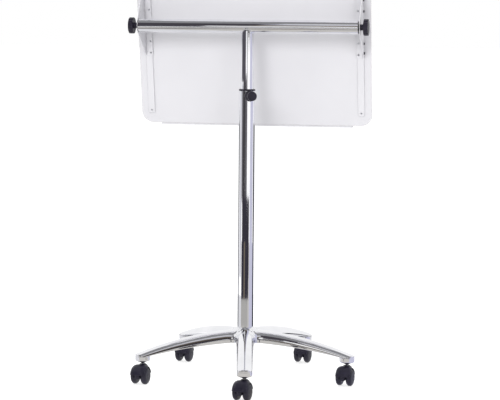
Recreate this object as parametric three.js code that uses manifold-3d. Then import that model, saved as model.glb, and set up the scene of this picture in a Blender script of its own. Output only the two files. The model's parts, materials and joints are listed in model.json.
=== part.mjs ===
// Mobile flipchart easel: a five-arm castor base, a telescopic column with a T-shaped crossbar,
// and a tilting writing board with a pen tray and a pad clamp.
// Millimetres, +Z up. The board's writing side faces -Y. The origin is on the column's axis, on the floor.

import * as THREE from 'three';
import { mergeVertices } from 'three/addons/utils/BufferGeometryUtils.js';
import Module from 'manifold-3d';

const wasm = await Module();
wasm.setup();

// ---------------------------------------------------------------- driving dimensions

const GAP = 0.3; // clearance kept between neighbouring pieces
const TILT = THREE.MathUtils.degToRad(11); // the board's top leans back from upright by this much
const ROUND = 24; // sides of a large tube
const SMALL_ROUND = 16; // sides of a pin, wheel or knob

const BASE = {
  arms: 5,
  turn: THREE.MathUtils.degToRad(101), // direction of the first arm, from +X
  stemRadius: 316, // castor stems lie on this circle
  topAtHub: 149.5,
  topSag: 5.3e-4, // the arm's crown falls by this times radius squared
  lowAtHub: 112,
  lowSag: 3.2e-4,
  halfWidthAtHub: 28,
  halfWidthAtEnd: 22.5,
  crown: 26, // height of the rounded crown where the arm is deep enough
  wall: 4,
  channelStart: 52, // each arm is hollow underneath between these radii
  channelEnd: 288,
  ribs: [128, 204], // cross ribs in the channel stand at these radii
  hubBottom: 106,
  hubRadius: 50,
  seat: 112, // the column's foot stands here, inside the hub
  cupRadius: 22.5, // the round end that holds a castor's stem
  cupReach: 30,
  cupBottom: 66,
  cupChamfer: 6.5,
  socketTop: 88.5,
};
const HUB_DOME = [[50, 122], [45, 137], [33, 146.5], [26, 149]]; // radius and height of the hub's shoulder
const COLUMN = { radius: 24, wall: 2, foot: BASE.seat + GAP, top: 859, plugTop: 140 };
const BOLT = { radius: 6, headRadius: 10.5, headBottom: 94.3, headTop: 102.3, top: 137, washerRadius: 17 };
const BUSH = { length: 60, lip: 5, chamfer: 1 };
const MAST = { radius: 19, wall: 1.7, foot: 433, bushLength: 48, bushLip: 2.6, bushBore: 13 };
const BAR = { height: 1048, radius: 20, wall: 2, half: 329, insertLength: 25 };
const CLAMP = {
  direction: THREE.MathUtils.degToRad(116), // the height clamp points this way, from +X
  height: 845,
  screwRadius: 4,
  bossRadius: 10,
  bossEnd: 29,
  knobStart: 29.5,
  knobEnd: 62,
  knobBore: 6, // thickness left at the outer end of the knob's blind hole
};
const STUD = { radius: 5, start: 308, end: 352 };
const WASHER = { radius: 18, thickness: 1.5 };
const KNOB = {
  hubRadius: 10,
  headStart: 346,
  headEnd: 360,
  headRadius: 24,
  lobes: 12,
  lobeDepth: 0.9,
  edge: [2, 1.5], // bevel along and across
};
const BRACKET = {
  thickness: 2.5,
  apexHalf: 19, // half length of the edge behind the crossbar
  apexReach: 12, // how far that edge stands behind the bar's axis
  apexChamfer: [5, 6],
  footHalf: 108, // half length along the board
  footWidth: 22,
  footFace: 78, // distance of the foot's rear face from the bar's axis
  screwRadius: 2.2,
  screwRow: 318,
  screws: [-99, -66, -33, 33, 66, 99],
};
const RAIL = { width: 19.5, thickness: 3.2, centre: 323.2, low: -287, high: 655 };
const BOARD = {
  halfWidth: 355,
  low: -318, // bottom edge, measured along the board from the bar's axis
  high: 692,
  corner: 35,
  back: 84.5, // rear face's distance from the bar's axis
  thickness: 13.5,
  frontSheet: 0.6,
  backSheet: 0.5,
  rim: 1.2,
  setBack: 0.3, // the writing sheet is pressed in by this under the pad clamp and the tray's plate
};
const TRAY = {
  half: 295,
  drop: 6.5, // its floor hangs this far below the board's edge
  reach: 58,
  lip: 13,
  lipCorner: 3,
  wall: 1.8,
  draft: 0.5, // the trough's walls lean outwards by this at the plate's top
  endCut: [12, 6],
  plateHeight: 24,
  under: 10,
};
const PAD = {
  half: 325,
  low: 634,
  plate: 4,
  hinge: 668,
  hingeOut: 8.5,
  barrelRadius: 3.6,
  pinRadius: 1.5,
  jawLow: 640,
  ridge: 7,
  grooveLow: 677,
  grooveHigh: 687,
  cheek: 4, // thickness of the end cheeks that hold the hinge pin
  cheekBelow: 4.5,
  pegCentre: 200,
  pegReach: 26,
  pegRadius: 3.5,
  pegTip: 1.5,
  sliderHalf: 12,
};
const CASTOR = {
  heading: THREE.MathUtils.degToRad(80), // every castor trails this way, from +X
  trail: 16,
  wheelRadius: 25,
  wheelInner: 8,
  wheelWidth: 17.6,
  axleRadius: 3,
  axleHalf: 22,
  hoodRadius: 33,
  hoodInner: 26.8,
  hoodLow: 31,
  hoodHalf: 26,
  webHalf: 6.5,
  webLow: 19,
  stemRadius: 5.5,
  stemTop: 87,
  collarRadius: 11,
  collarTop: 65.6,
  bossRadius: 9,
  bossTop: 58.5,
  stemLow: 41,
  stemChamfer: 1.5,
};

// ---------------------------------------------------------------- materials

const chrome = new THREE.MeshStandardMaterial({ color: 0xd9dbe2, roughness: 0.06, metalness: 1 });
const steel = new THREE.MeshStandardMaterial({ color: 0xb4b6ba, roughness: 0.35, metalness: 1 });
const aluminium = new THREE.MeshStandardMaterial({ color: 0xc9cbd0, roughness: 0.35, metalness: 1 });
const whitePaint = new THREE.MeshStandardMaterial({ color: 0xe9e9ee, roughness: 0.4, metalness: 0 });
const writingFace = new THREE.MeshStandardMaterial({ color: 0xf7f7f9, roughness: 0.12, metalness: 0 });
const core = new THREE.MeshStandardMaterial({ color: 0xb9a98c, roughness: 0.9, metalness: 0 });
const black = new THREE.MeshStandardMaterial({ color: 0x2a2833, roughness: 0.45, metalness: 0 });
const blackWheel = new THREE.MeshStandardMaterial({ color: 0x24232b, roughness: 0.4, metalness: 0 });
const fibre = new THREE.MeshStandardMaterial({ color: 0x3b3a3c, roughness: 0.8, metalness: 0 });

// ---------------------------------------------------------------- geometry helpers

const v2 = (x, y) => new THREE.Vector2(x, y);

function signedVolume(position, index) {
  const [a, b, c] = [new THREE.Vector3(), new THREE.Vector3(), new THREE.Vector3()];
  let total = 0;
  for (let i = 0; i < index.length; i += 3) {
    a.fromBufferAttribute(position, index[i]);
    b.fromBufferAttribute(position, index[i + 1]);
    c.fromBufferAttribute(position, index[i + 2]);
    total += a.dot(b.cross(c));
  }
  return total / 6;
}

// A closed mesh with shared vertices, no empty triangles, and its faces pointing out.
function clean(geometry) {
  const plain = geometry.index ? geometry.toNonIndexed() : geometry.clone();
  plain.deleteAttribute('normal');
  plain.deleteAttribute('uv');
  const merged = mergeVertices(plain, 1e-4);
  const source = merged.index.array;
  const index = [];
  for (let i = 0; i < source.length; i += 3) {
    const [a, b, c] = [source[i], source[i + 1], source[i + 2]];
    if (a !== b && b !== c && c !== a) index.push(a, b, c);
  }
  if (signedVolume(merged.attributes.position, index) < 0) index.reverse();
  merged.setIndex(index);
  return merged;
}

function solid(geometry) {
  const shape = clean(geometry);
  const mesh = new wasm.Mesh({
    numProp: 3,
    vertProperties: new Float32Array(shape.attributes.position.array),
    triVerts: new Uint32Array(shape.index.array),
  });
  return new wasm.Manifold(mesh);
}

function geometryOf(body) {
  const mesh = body.getMesh();
  const geometry = new THREE.BufferGeometry();
  geometry.setAttribute('position', new THREE.BufferAttribute(new Float32Array(mesh.vertProperties), 3));
  geometry.setIndex(new THREE.BufferAttribute(new Uint32Array(mesh.triVerts), 1));
  return geometry;
}

// A body of revolution about Z. Each point is [radius, height].
function turned(profile, sides = ROUND) {
  const geometry = new THREE.LatheGeometry(profile.map(([r, z]) => v2(r, z)), sides);
  return geometry.rotateX(Math.PI / 2);
}

const rod = (radius, low, high, sides = ROUND) =>
  turned([[0, low], [radius, low], [radius, high], [0, high]], sides);

const sleeve = (inner, outer, low, high, sides = ROUND) =>
  turned([[inner, low], [outer, low], [outer, high], [inner, high], [inner, low]], sides);

const alongX = (geometry) => geometry.rotateY(Math.PI / 2);

function block(x0, x1, y0, y1, z0, z1) {
  const geometry = new THREE.BoxGeometry(x1 - x0, y1 - y0, z1 - z0);
  return geometry.translate((x0 + x1) / 2, (y0 + y1) / 2, (z0 + z1) / 2);
}

// An outline drawn in the board's plane (across, along), as a slab between two distances from the bar.
function boardSlab(shape, near, far, curveSegments = 5) {
  const options = { depth: far - near, bevelEnabled: false, curveSegments };
  return new THREE.ExtrudeGeometry(shape, options).rotateX(Math.PI / 2).translate(0, -near, 0);
}

// An outline drawn across the board (distance from the bar, along), as a prism between two places on X.
function sidePrism(shape, start, end, curveSegments = 4) {
  const options = { depth: end - start, bevelEnabled: false, curveSegments };
  const geometry = new THREE.ExtrudeGeometry(shape, options);
  return geometry.rotateX(Math.PI / 2).rotateZ(-Math.PI / 2).translate(end, 0, 0);
}

function roundedRectangle(x0, x1, y0, y1, r) {
  const shape = new THREE.Shape();
  shape.moveTo(x0 + r, y0);
  shape.lineTo(x1 - r, y0);
  shape.absarc(x1 - r, y0 + r, r, -Math.PI / 2, 0);
  shape.lineTo(x1, y1 - r);
  shape.absarc(x1 - r, y1 - r, r, 0, Math.PI / 2);
  shape.lineTo(x0 + r, y1);
  shape.absarc(x0 + r, y1 - r, r, Math.PI / 2, Math.PI);
  shape.lineTo(x0, y0 + r);
  shape.absarc(x0 + r, y0 + r, r, Math.PI, 1.5 * Math.PI);
  return shape;
}

const polygon = (points) => new THREE.Shape(points.map(([x, y]) => v2(x, y)));

// A closed body through a row of equal rings, each ring convex.
function loft(rings) {
  const count = rings[0].length;
  const positions = rings.flat(2);
  const index = [];
  for (let i = 0; i + 1 < rings.length; i++) {
    for (let j = 0; j < count; j++) {
      const next = (j + 1) % count;
      const [a, b, c, d] = [i * count + j, i * count + next, (i + 1) * count + next, (i + 1) * count + j];
      index.push(a, b, c, a, c, d);
    }
  }
  const last = (rings.length - 1) * count;
  for (let j = 1; j + 1 < count; j++) {
    index.push(0, j + 1, j);
    index.push(last, last + j, last + j + 1);
  }
  const geometry = new THREE.BufferGeometry();
  geometry.setAttribute('position', new THREE.Float32BufferAttribute(positions, 3));
  geometry.setIndex(index);
  return geometry;
}

// ---------------------------------------------------------------- the assembly

const easel = new THREE.Group();
const baseGroup = new THREE.Group();
baseGroup.rotation.z = BASE.turn;
const boardGroup = new THREE.Group();
boardGroup.position.z = BAR.height;
boardGroup.rotation.x = -TILT;
easel.add(baseGroup, boardGroup);

function add(parent, name, geometry, material) {
  const mesh = new THREE.Mesh(clean(geometry), material);
  mesh.name = name;
  parent.add(mesh);
  return mesh;
}

// ---------------------------------------------------------------- base

const armTop = (r) => BASE.topAtHub - BASE.topSag * r * r;
const armLow = (r) => BASE.lowAtHub - BASE.lowSag * r * r;
const armHalf = (r) =>
  THREE.MathUtils.lerp(BASE.halfWidthAtHub, BASE.halfWidthAtEnd, r / BASE.stemRadius);

// The arm's cross-section at a radius: straight sides under a rounded crown.
function armRing(r, inset, low) {
  const half = armHalf(r) - inset;
  const top = armTop(r) - inset;
  const crown = Math.min(BASE.crown, 0.8 * (armTop(r) - armLow(r))) - inset / 2;
  const steps = 6;
  const ring = [[r, half, low]];
  for (let i = 0; i <= steps; i++) {
    const angle = (Math.PI * i) / steps;
    ring.push([r, half * Math.cos(angle), top - crown + crown * Math.sin(angle)]);
  }
  ring.push([r, -half, low]);
  return ring;
}

function armLoft(start, end, steps, inset, low) {
  const rings = [];
  for (let i = 0; i <= steps; i++) {
    const r = THREE.MathUtils.lerp(start, end, i / steps);
    rings.push(armRing(r, inset, low(r)));
  }
  return solid(loft(rings));
}

// The round end of an arm, its top following the arm's crown.
function castorCup() {
  const { cupRadius: radius, cupBottom: low, cupChamfer, cupReach, stemRadius, topAtHub } = BASE;
  const profile = [[0, low], [radius - cupChamfer, low], [radius, low + cupChamfer], [radius, topAtHub],
    [0, topAtHub]];
  const boss = solid(turned(profile, SMALL_ROUND).translate(stemRadius, 0, 0));
  return boss.intersect(armLoft(stemRadius - cupReach, stemRadius + cupReach, 2, 0, () => low - 1));
}

// The hollow under an arm, divided by a rib along its middle and two ribs across it.
function armChannel() {
  const { channelStart, channelEnd, wall, ribs, topAtHub, halfWidthAtHub } = BASE;
  const half = wall / 2;
  let hollow = armLoft(channelStart, channelEnd, 3, wall, (r) => armLow(r) - 10);
  hollow = hollow.subtract(solid(block(0, BASE.stemRadius, -half, half, 0, topAtHub)));
  for (const r of ribs) {
    hollow = hollow.subtract(solid(block(r - half, r + half, -halfWidthAtHub, halfWidthAtHub, 0, topAtHub)));
  }
  return hollow;
}

function baseStar() {
  const { hubBottom, hubRadius, topAtHub, cupBottom } = BASE;
  const arm = armLoft(10, BASE.stemRadius, 5, 0, armLow).subtract(armChannel()).add(castorCup());
  const socket = rod(CASTOR.stemRadius + GAP, cupBottom - 1, BASE.socketTop, SMALL_ROUND);
  const drilled = arm.subtract(solid(socket.translate(BASE.stemRadius, 0, 0)));
  const [, domeTop] = HUB_DOME.at(-1);
  const skirt = [[0, hubBottom], [hubRadius - 4, hubBottom], [hubRadius, hubBottom + 5]];
  let star = solid(turned([...skirt, ...HUB_DOME, [0, domeTop]], 20));
  for (let k = 0; k < BASE.arms; k++) {
    star = star.add(drilled.rotate([0, 0, (360 * k) / BASE.arms]));
  }
  const bore = solid(rod(COLUMN.radius + GAP, BASE.seat, topAtHub + 1));
  const boltHole = solid(rod(BOLT.radius + GAP, hubBottom - 1, BASE.seat + 1, SMALL_ROUND));
  return geometryOf(star.subtract(bore).subtract(boltHole));
}

function baseFasteners() {
  const { radius, headTop, washerRadius } = BOLT;
  const head = solid(rod(BOLT.headRadius, BOLT.headBottom, headTop, 6));
  const shank = solid(rod(radius, headTop - 1, BOLT.top, SMALL_ROUND));
  const washer = sleeve(radius + GAP, washerRadius, headTop + GAP, BASE.hubBottom - GAP, SMALL_ROUND);
  add(baseGroup, 'base_bolt', geometryOf(head.add(shank)), steel);
  add(baseGroup, 'base_washer', washer, steel);
}

add(baseGroup, 'base_star', baseStar(), chrome);
baseFasteners();

// ---------------------------------------------------------------- column and height clamp

// A rod along the clamp's direction, between two distances from the column's axis.
function clampRod(radius, start, end, sides = SMALL_ROUND) {
  return alongX(rod(radius, start, end, sides)).rotateZ(CLAMP.direction).translate(0, 0, CLAMP.height);
}

const columnBore = COLUMN.radius - COLUMN.wall;
const screwHole = solid(clampRod(CLAMP.screwRadius + GAP, MAST.radius - 9, CLAMP.bossEnd + 11));

function columnTube() {
  const wall = solid(sleeve(columnBore, COLUMN.radius, COLUMN.foot, COLUMN.top));
  return geometryOf(wall.subtract(screwHole));
}

// The guide sleeve in the column's mouth, with a lip that sits on the rim.
function columnBush() {
  const { length, lip, chamfer } = BUSH;
  const { radius, top } = COLUMN;
  const inner = MAST.radius + GAP;
  const outer = columnBore - GAP;
  const lipLow = top + GAP;
  const lipTop = lipLow + lip;
  const profile = [[inner, top - length], [outer, top - length], [outer, lipLow], [radius, lipLow],
    [radius, lipTop - chamfer], [radius - chamfer, lipTop], [inner, lipTop], [inner, top - length]];
  return geometryOf(solid(turned(profile)).subtract(screwHole));
}

function clampBoss() {
  const body = solid(clampRod(CLAMP.bossRadius, COLUMN.radius - 6, CLAMP.bossEnd));
  const saddle = solid(rod(COLUMN.radius + GAP, CLAMP.height - 30, CLAMP.height + 30));
  return geometryOf(body.subtract(saddle).subtract(screwHole));
}

// A long knob: a flange near the column, a waist, and a round end to hold. Places are from its near face.
function heightKnob() {
  const { knobStart: near, knobEnd: far, knobBore, screwRadius } = CLAMP;
  const bore = screwRadius + GAP;
  const waist = [[14, 0], [17, 3], [17, 8], [13.5, 14], [13, 19]].map(([r, along]) => [r, near + along]);
  const profile = [[bore, near], ...waist, [14, far - 4], [12, far], [0, far], [0, far - knobBore],
    [bore, far - knobBore], [bore, near]];
  return alongX(turned(profile, SMALL_ROUND)).rotateZ(CLAMP.direction).translate(0, 0, CLAMP.height);
}

const plug = sleeve(BOLT.radius + GAP, columnBore - GAP, COLUMN.foot, COLUMN.plugTop, SMALL_ROUND);
const screw = clampRod(CLAMP.screwRadius, MAST.radius + 2 * GAP, CLAMP.knobEnd - CLAMP.knobBore - 0.5);
add(easel, 'column_tube', columnTube(), chrome);
add(easel, 'column_plug', plug, steel);
add(easel, 'column_bush', columnBush(), black);
add(easel, 'clamp_boss', clampBoss(), chrome);
add(easel, 'height_knob', heightKnob(), black);
add(easel, 'height_screw', screw, steel);

// ---------------------------------------------------------------- mast and crossbar

function mastTube() {
  const body = solid(sleeve(MAST.radius - MAST.wall, MAST.radius, MAST.foot, BAR.height + 5));
  const cope = solid(alongX(rod(BAR.radius + GAP, -60, 60)).translate(0, 0, BAR.height));
  return geometryOf(body.subtract(cope));
}

// A cup on the mast's foot: its floor is under the tube and its wall runs in the column.
function mastBush() {
  const { bushBore: bore, bushLength, foot } = MAST;
  const floor = foot - GAP;
  const low = floor - MAST.bushLip;
  const inner = MAST.radius + GAP;
  const outer = columnBore - GAP;
  return turned([[bore, low], [outer, low], [outer, low + bushLength], [inner, low + bushLength],
    [inner, floor], [bore, floor], [bore, low]]);
}

const bar = alongX(sleeve(BAR.radius - BAR.wall, BAR.radius, -BAR.half, BAR.half));
add(easel, 'mast_bush', mastBush(), black);
add(easel, 'mast_tube', mastTube(), chrome);
add(easel, 'crossbar', bar.translate(0, 0, BAR.height), chrome);

// ---------------------------------------------------------------- tilt clamps, one at each crossbar end

// A knob with a fluted rim: its head is an extruded outline and its hub is a plain boss, both along +X.
function tiltKnob() {
  const { headStart, headEnd, headRadius, lobes, lobeDepth } = KNOB;
  const [bevelThickness, bevelSize] = KNOB.edge;
  const points = [];
  for (let i = 0; i < 2 * lobes; i++) {
    const angle = (Math.PI * i) / lobes;
    const radius = headRadius - bevelSize - (i % 2) * lobeDepth;
    points.push([radius * Math.cos(angle), radius * Math.sin(angle)]);
  }
  const depth = headEnd - headStart - 2 * bevelThickness;
  const options = { depth, bevelEnabled: true, bevelThickness, bevelSize, bevelSegments: 1 };
  const head = new THREE.ExtrudeGeometry(polygon(points), options);
  head.translate(0, 0, headStart + bevelThickness);
  const hubStart = BAR.half + WASHER.thickness + BRACKET.thickness + 3 * GAP;
  const hub = rod(KNOB.hubRadius, hubStart, headStart + bevelThickness + 1, SMALL_ROUND);
  const bore = rod(STUD.radius + GAP, hubStart - 1, STUD.end + GAP, SMALL_ROUND);
  return geometryOf(solid(head).add(solid(hub)).subtract(solid(bore)));
}

function tiltClamp(side, sign) {
  const turn = sign > 0 ? 0 : Math.PI;
  const toSide = (geometry) => alongX(geometry).rotateZ(turn).translate(0, 0, BAR.height);
  const bore = STUD.radius + GAP;
  const insert = sleeve(bore, BAR.radius - BAR.wall - GAP, BAR.half - BAR.insertLength, BAR.half);
  const washerStart = BAR.half + GAP;
  const washer = sleeve(bore, WASHER.radius, washerStart, washerStart + WASHER.thickness);
  const stud = rod(STUD.radius, STUD.start, STUD.end, SMALL_ROUND);
  add(easel, `bar_insert_${side}`, toSide(insert), steel);
  add(easel, `friction_washer_${side}`, toSide(washer), fibre);
  add(easel, `tilt_stud_${side}`, toSide(stud), steel);
  add(easel, `tilt_knob_${side}`, toSide(tiltKnob()), black);
}

const SIDES = [['left', 1], ['right', -1]];
SIDES.forEach(([side, sign]) => tiltClamp(side, sign));

// ---------------------------------------------------------------- board, drawn upright in its own frame

// A bent plate: a triangular cheek outside the crossbar's end, and a foot screwed down on the rail.
function bracket(sign) {
  const { thickness, apexHalf, apexReach, footHalf, footWidth, footFace, screwRadius, screwRow } = BRACKET;
  const [cutOut, cutAlong] = BRACKET.apexChamfer;
  const cheekStart = BAR.half + WASHER.thickness + 2 * GAP;
  const footEnd = footFace + thickness;
  const outline = polygon([[-apexReach, cutAlong - apexHalf], [cutOut - apexReach, -apexHalf],
    [footEnd, -footHalf], [footEnd, footHalf], [cutOut - apexReach, apexHalf],
    [-apexReach, apexHalf - cutAlong]]);
  const hole = new THREE.Path();
  hole.absarc(0, 0, STUD.radius + 0.5, 0, 2 * Math.PI, true);
  outline.holes.push(hole);
  const cheek = solid(sidePrism(outline, cheekStart, cheekStart + thickness, 8));
  const footStart = cheekStart + thickness - footWidth;
  let plate = solid(block(footStart, cheekStart + 1, -footEnd, -footFace, -footHalf, footHalf));
  for (const place of BRACKET.screws) {
    const drill = rod(screwRadius, -footFace - 10, -footFace + 10, 6);
    plate = plate.subtract(solid(drill.rotateX(Math.PI / 2).translate(screwRow, -2 * footFace, place)));
  }
  const bent = cheek.add(plate);
  return geometryOf(sign > 0 ? bent : bent.rotate([0, 180, 0]));
}

function rail(sign) {
  const half = RAIL.width / 2;
  const start = sign * RAIL.centre - half;
  const face = BOARD.back - GAP;
  const shape = roundedRectangle(start, start + RAIL.width, RAIL.low, RAIL.high, 4);
  return boardSlab(shape, face - RAIL.thickness, face, 2);
}

const boardOutline = (inset) => roundedRectangle(-BOARD.halfWidth + inset, BOARD.halfWidth - inset,
  BOARD.low + inset, BOARD.high - inset, BOARD.corner - inset);

// The steel writing sheet, its edges folded back all round to make a shallow pan. It is set back a little
// where the pad clamp and the tray's plate lie on it.
function frontSheet() {
  const { halfWidth, low, high, back, setBack } = BOARD;
  const front = back + BOARD.thickness;
  let pan = solid(boardSlab(boardOutline(0), back, front));
  pan = pan.subtract(solid(boardSlab(boardOutline(BOARD.rim), back - 1, front - BOARD.frontSheet)));
  for (const [start, end] of [[low - 1, low + TRAY.plateHeight + GAP], [PAD.low - GAP, high + 1]]) {
    const band = block(-halfWidth - 1, halfWidth + 1, -front - 1, setBack - front, start, end);
    pan = pan.subtract(solid(band));
  }
  return geometryOf(pan);
}

function corePanel() {
  const near = BOARD.back + BOARD.backSheet + GAP;
  const far = BOARD.back + BOARD.thickness - BOARD.frontSheet - GAP;
  return boardSlab(boardOutline(BOARD.rim + GAP), near, far);
}

function backSheet() {
  return boardSlab(boardOutline(BOARD.rim + GAP), BOARD.back, BOARD.back + BOARD.backSheet);
}

// A folded pen tray: a plate on the writing side, a floor that shows under the board, and a front lip.
function penTray() {
  const { half, drop, reach, lip, lipCorner, wall, draft, endCut, plateHeight, under } = TRAY;
  const face = BOARD.back + BOARD.thickness + GAP;
  const floorLow = BOARD.low - drop;
  const floorTop = BOARD.low - GAP - 1;
  const plateTop = BOARD.low + plateHeight;
  const lipTop = floorLow + lip;
  const end = face + reach;
  const outline = polygon([[face - under, floorLow], [end - lipCorner, floorLow], [end, floorLow + lipCorner],
    [end, lipTop], [face + wall, lipTop], [face + wall, plateTop], [face, plateTop], [face, floorTop],
    [face - under, floorTop]]);
  const troughRing = (grow, height) => {
    const [across, near, far] = [half - wall + grow, wall - end - grow, grow - face - wall];
    return [[-across, near, height], [across, near, height], [across, far, height], [-across, far, height]];
  };
  const trough = loft([troughRing(0, floorLow + wall), troughRing(draft, plateTop)]);
  let tray = solid(sidePrism(outline, -half, half)).subtract(solid(trough));
  const [cutAcross, cutUp] = endCut;
  const edge = half + 0.01;
  for (const sign of [1, -1]) {
    const corner = polygon([[-sign * edge, floorLow - 0.01], [-sign * (edge - cutAcross), floorLow - 0.01],
      [-sign * edge, floorLow + cutUp]]);
    tray = tray.subtract(solid(boardSlab(corner, face - under - 1, end + 1)));
  }
  return geometryOf(tray);
}

// ---------------------------------------------------------------- pad clamp along the board's top

const padFace = BOARD.back + BOARD.thickness + GAP;
const hingeAt = [0, -(padFace + PAD.hingeOut), PAD.hinge];

const hingeRod = (radius, half, sides) => alongX(rod(radius, -half, half, sides)).translate(...hingeAt);
const hingeBore = solid(hingeRod(PAD.pinRadius + GAP, PAD.half + 5, 12));

function clampRail() {
  const { half, low, plate, ridge, grooveLow, grooveHigh, cheek, cheekBelow, hingeOut, hinge } = PAD;
  const out = padFace + plate;
  const box = (x0, x1, t0, t1, z0, z1) => solid(block(x0, x1, -t1, -t0, z0, z1));
  let body = box(-half, half, padFace, out, low, BOARD.high);
  body = body.add(box(-half, half, out - 1, out + ridge, grooveLow - 4, grooveLow));
  body = body.add(box(-half, half, out - 1, out + ridge, grooveHigh, BOARD.high));
  for (const start of [-half, half - cheek]) {
    const cheekOut = padFace + hingeOut + cheek;
    body = body.add(box(start, start + cheek, out - 1, cheekOut, hinge - cheekBelow, grooveLow - 3));
  }
  return geometryOf(body.subtract(hingeBore));
}

// A blade that presses on the pad's edge, hung from a barrel round the hinge pin.
function clampJaw() {
  const { jawLow: low, hinge } = PAD;
  const reach = PAD.half - PAD.cheek - 2 * GAP;
  const near = padFace + PAD.plate;
  const barrel = solid(hingeRod(PAD.barrelRadius, reach, SMALL_ROUND));
  const outline = polygon([[near + GAP, low], [near + 4, low - 2], [near + 7, low + 3], [near + 7, hinge],
    [near + 4, hinge], [near + 4, low + 4], [near + GAP, low + 3]]);
  const blade = solid(sidePrism(outline, -reach, reach));
  return geometryOf(barrel.add(blade).subtract(hingeBore));
}

// A sliding peg for the pad's punched holes, with a mushroom tip.
function padPeg(sign) {
  const out = padFace + PAD.plate + GAP;
  const middle = (PAD.grooveLow + PAD.grooveHigh) / 2;
  const halfGroove = (PAD.grooveHigh - PAD.grooveLow) / 2 - GAP;
  const { pegRadius: radius, pegTip, sliderHalf } = PAD;
  const slider = solid(block(-sliderHalf, sliderHalf, 1 - out - PAD.ridge, -out, -halfGroove, halfGroove));
  const end = out + PAD.pegReach;
  const pin = turned([[0, out + 2], [radius, out + 2], [radius, end - 5], [radius + pegTip, end - 3],
    [radius, end], [0, end]], SMALL_ROUND);
  const peg = slider.add(solid(pin.rotateX(Math.PI / 2)));
  return geometryOf(peg.translate([sign * PAD.pegCentre, 0, middle]));
}

SIDES.forEach(([side, sign]) => {
  add(boardGroup, `bracket_${side}`, bracket(sign), whitePaint);
  add(boardGroup, `rail_${side}`, rail(sign), whitePaint);
  add(boardGroup, `pad_peg_${side}`, padPeg(sign), black);
});
add(boardGroup, 'board_front', frontSheet(), writingFace);
add(boardGroup, 'board_core', corePanel(), core);
add(boardGroup, 'board_back', backSheet(), whitePaint);
add(boardGroup, 'pen_tray', penTray(), whitePaint);
add(boardGroup, 'clamp_rail', clampRail(), aluminium);
add(boardGroup, 'clamp_jaw', clampJaw(), aluminium);
add(boardGroup, 'clamp_pin', hingeRod(PAD.pinRadius, PAD.half - 0.5, 12), steel);

// ---------------------------------------------------------------- castors

// Each castor is drawn with its stem on Z and its wheels trailing towards +X. This is a body of revolution
// about its axle; each point is [radius, distance along the axle].
function onAxle(profile, sides, phase = 0) {
  const geometry = turned(profile, sides).rotateZ(phase).rotateX(-Math.PI / 2);
  return geometry.translate(CASTOR.trail, 0, CASTOR.wheelRadius);
}

const disc = (radius, low, high, sides) =>
  onAxle([[0, low], [radius, low], [radius, high], [0, high]], sides);

// The tread's flats lie on the true circle, so that a flat rests on the floor.
function wheel(sign) {
  const { wheelInner: near, wheelWidth: width, wheelRadius, axleRadius } = CASTOR;
  const rim = wheelRadius / Math.cos(Math.PI / SMALL_ROUND);
  const bore = axleRadius + GAP;
  const far = near + width;
  const profile = [[0, far - 3], [bore, far - 3], [bore, near], [rim - 4, near], [rim, near + 4.5],
    [rim, near + 10.5], [rim - 3, near + 14.5], [rim - 9, far - 1], [0, far]];
  return onAxle(profile.map(([r, a]) => [r, sign * a]), SMALL_ROUND, Math.PI / SMALL_ROUND);
}

function hood() {
  const { hoodRadius: r, hoodHalf, hoodInner, hoodLow, webHalf, webLow } = CASTOR;
  const { bossRadius, bossTop, stemLow, stemRadius, axleRadius } = CASTOR;
  const far = 2 * r;
  const above = (low) => solid(block(-far, far, -far, far, low, far));
  const half = [[0, hoodHalf], [r - 12, hoodHalf - 0.5], [r - 4, hoodHalf - 5], [r, hoodHalf - 16]];
  const shell = onAxle([...half.map(([a, b]) => [a, -b]), ...half.reverse()], 20);
  const bossProfile = [[0, stemLow + 3], [bossRadius + 4, stemLow + 3], [bossRadius, bossTop], [0, bossTop]];
  const web = solid(disc(hoodInner + 2, -webHalf, webHalf, 20)).intersect(above(webLow));
  const body = solid(shell).intersect(above(hoodLow)).add(solid(turned(bossProfile, SMALL_ROUND)))
    .subtract(solid(disc(hoodInner, webHalf, far, 20)))
    .subtract(solid(disc(hoodInner, -far, -webHalf, 20)))
    .add(web);
  const stemHole = solid(rod(stemRadius + GAP, stemLow - GAP, bossTop + 1, SMALL_ROUND));
  return geometryOf(body.subtract(stemHole).subtract(solid(disc(axleRadius + GAP, -far, far, 12))));
}

function stem() {
  const { stemRadius: r, stemLow, stemTop, collarRadius, collarTop, bossTop, stemChamfer: cut } = CASTOR;
  return turned([[0, stemLow], [r, stemLow], [r, bossTop + cut], [collarRadius, collarTop - cut],
    [collarRadius, collarTop], [r, collarTop], [r, stemTop - cut], [r - cut, stemTop], [0, stemTop]], 12);
}

function castor(number) {
  const group = new THREE.Group();
  const { axleRadius, axleHalf } = CASTOR;
  const angle = BASE.turn + (2 * Math.PI * (number - 1)) / BASE.arms;
  group.position.set(BASE.stemRadius * Math.cos(angle), BASE.stemRadius * Math.sin(angle), 0);
  group.rotation.z = CASTOR.heading;
  add(group, `castor_${number}_stem`, stem(), steel);
  add(group, `castor_${number}_hood`, hood(), black);
  add(group, `castor_${number}_axle`, disc(axleRadius, -axleHalf, axleHalf, 12), steel);
  add(group, `castor_${number}_wheel_a`, wheel(1), blackWheel);
  add(group, `castor_${number}_wheel_b`, wheel(-1), blackWheel);
  easel.add(group);
}

for (let number = 1; number <= BASE.arms; number++) castor(number);

export default easel;
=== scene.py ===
"""Visual model of a mobile flipchart easel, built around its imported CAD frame.

Metres, +Z up, in the frame's own axes. The writing side faces -Y and the camera stands behind, at +Y.
"""
import json
import math

import bmesh
import bpy
import numpy as np
from mathutils import Matrix, Vector


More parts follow.
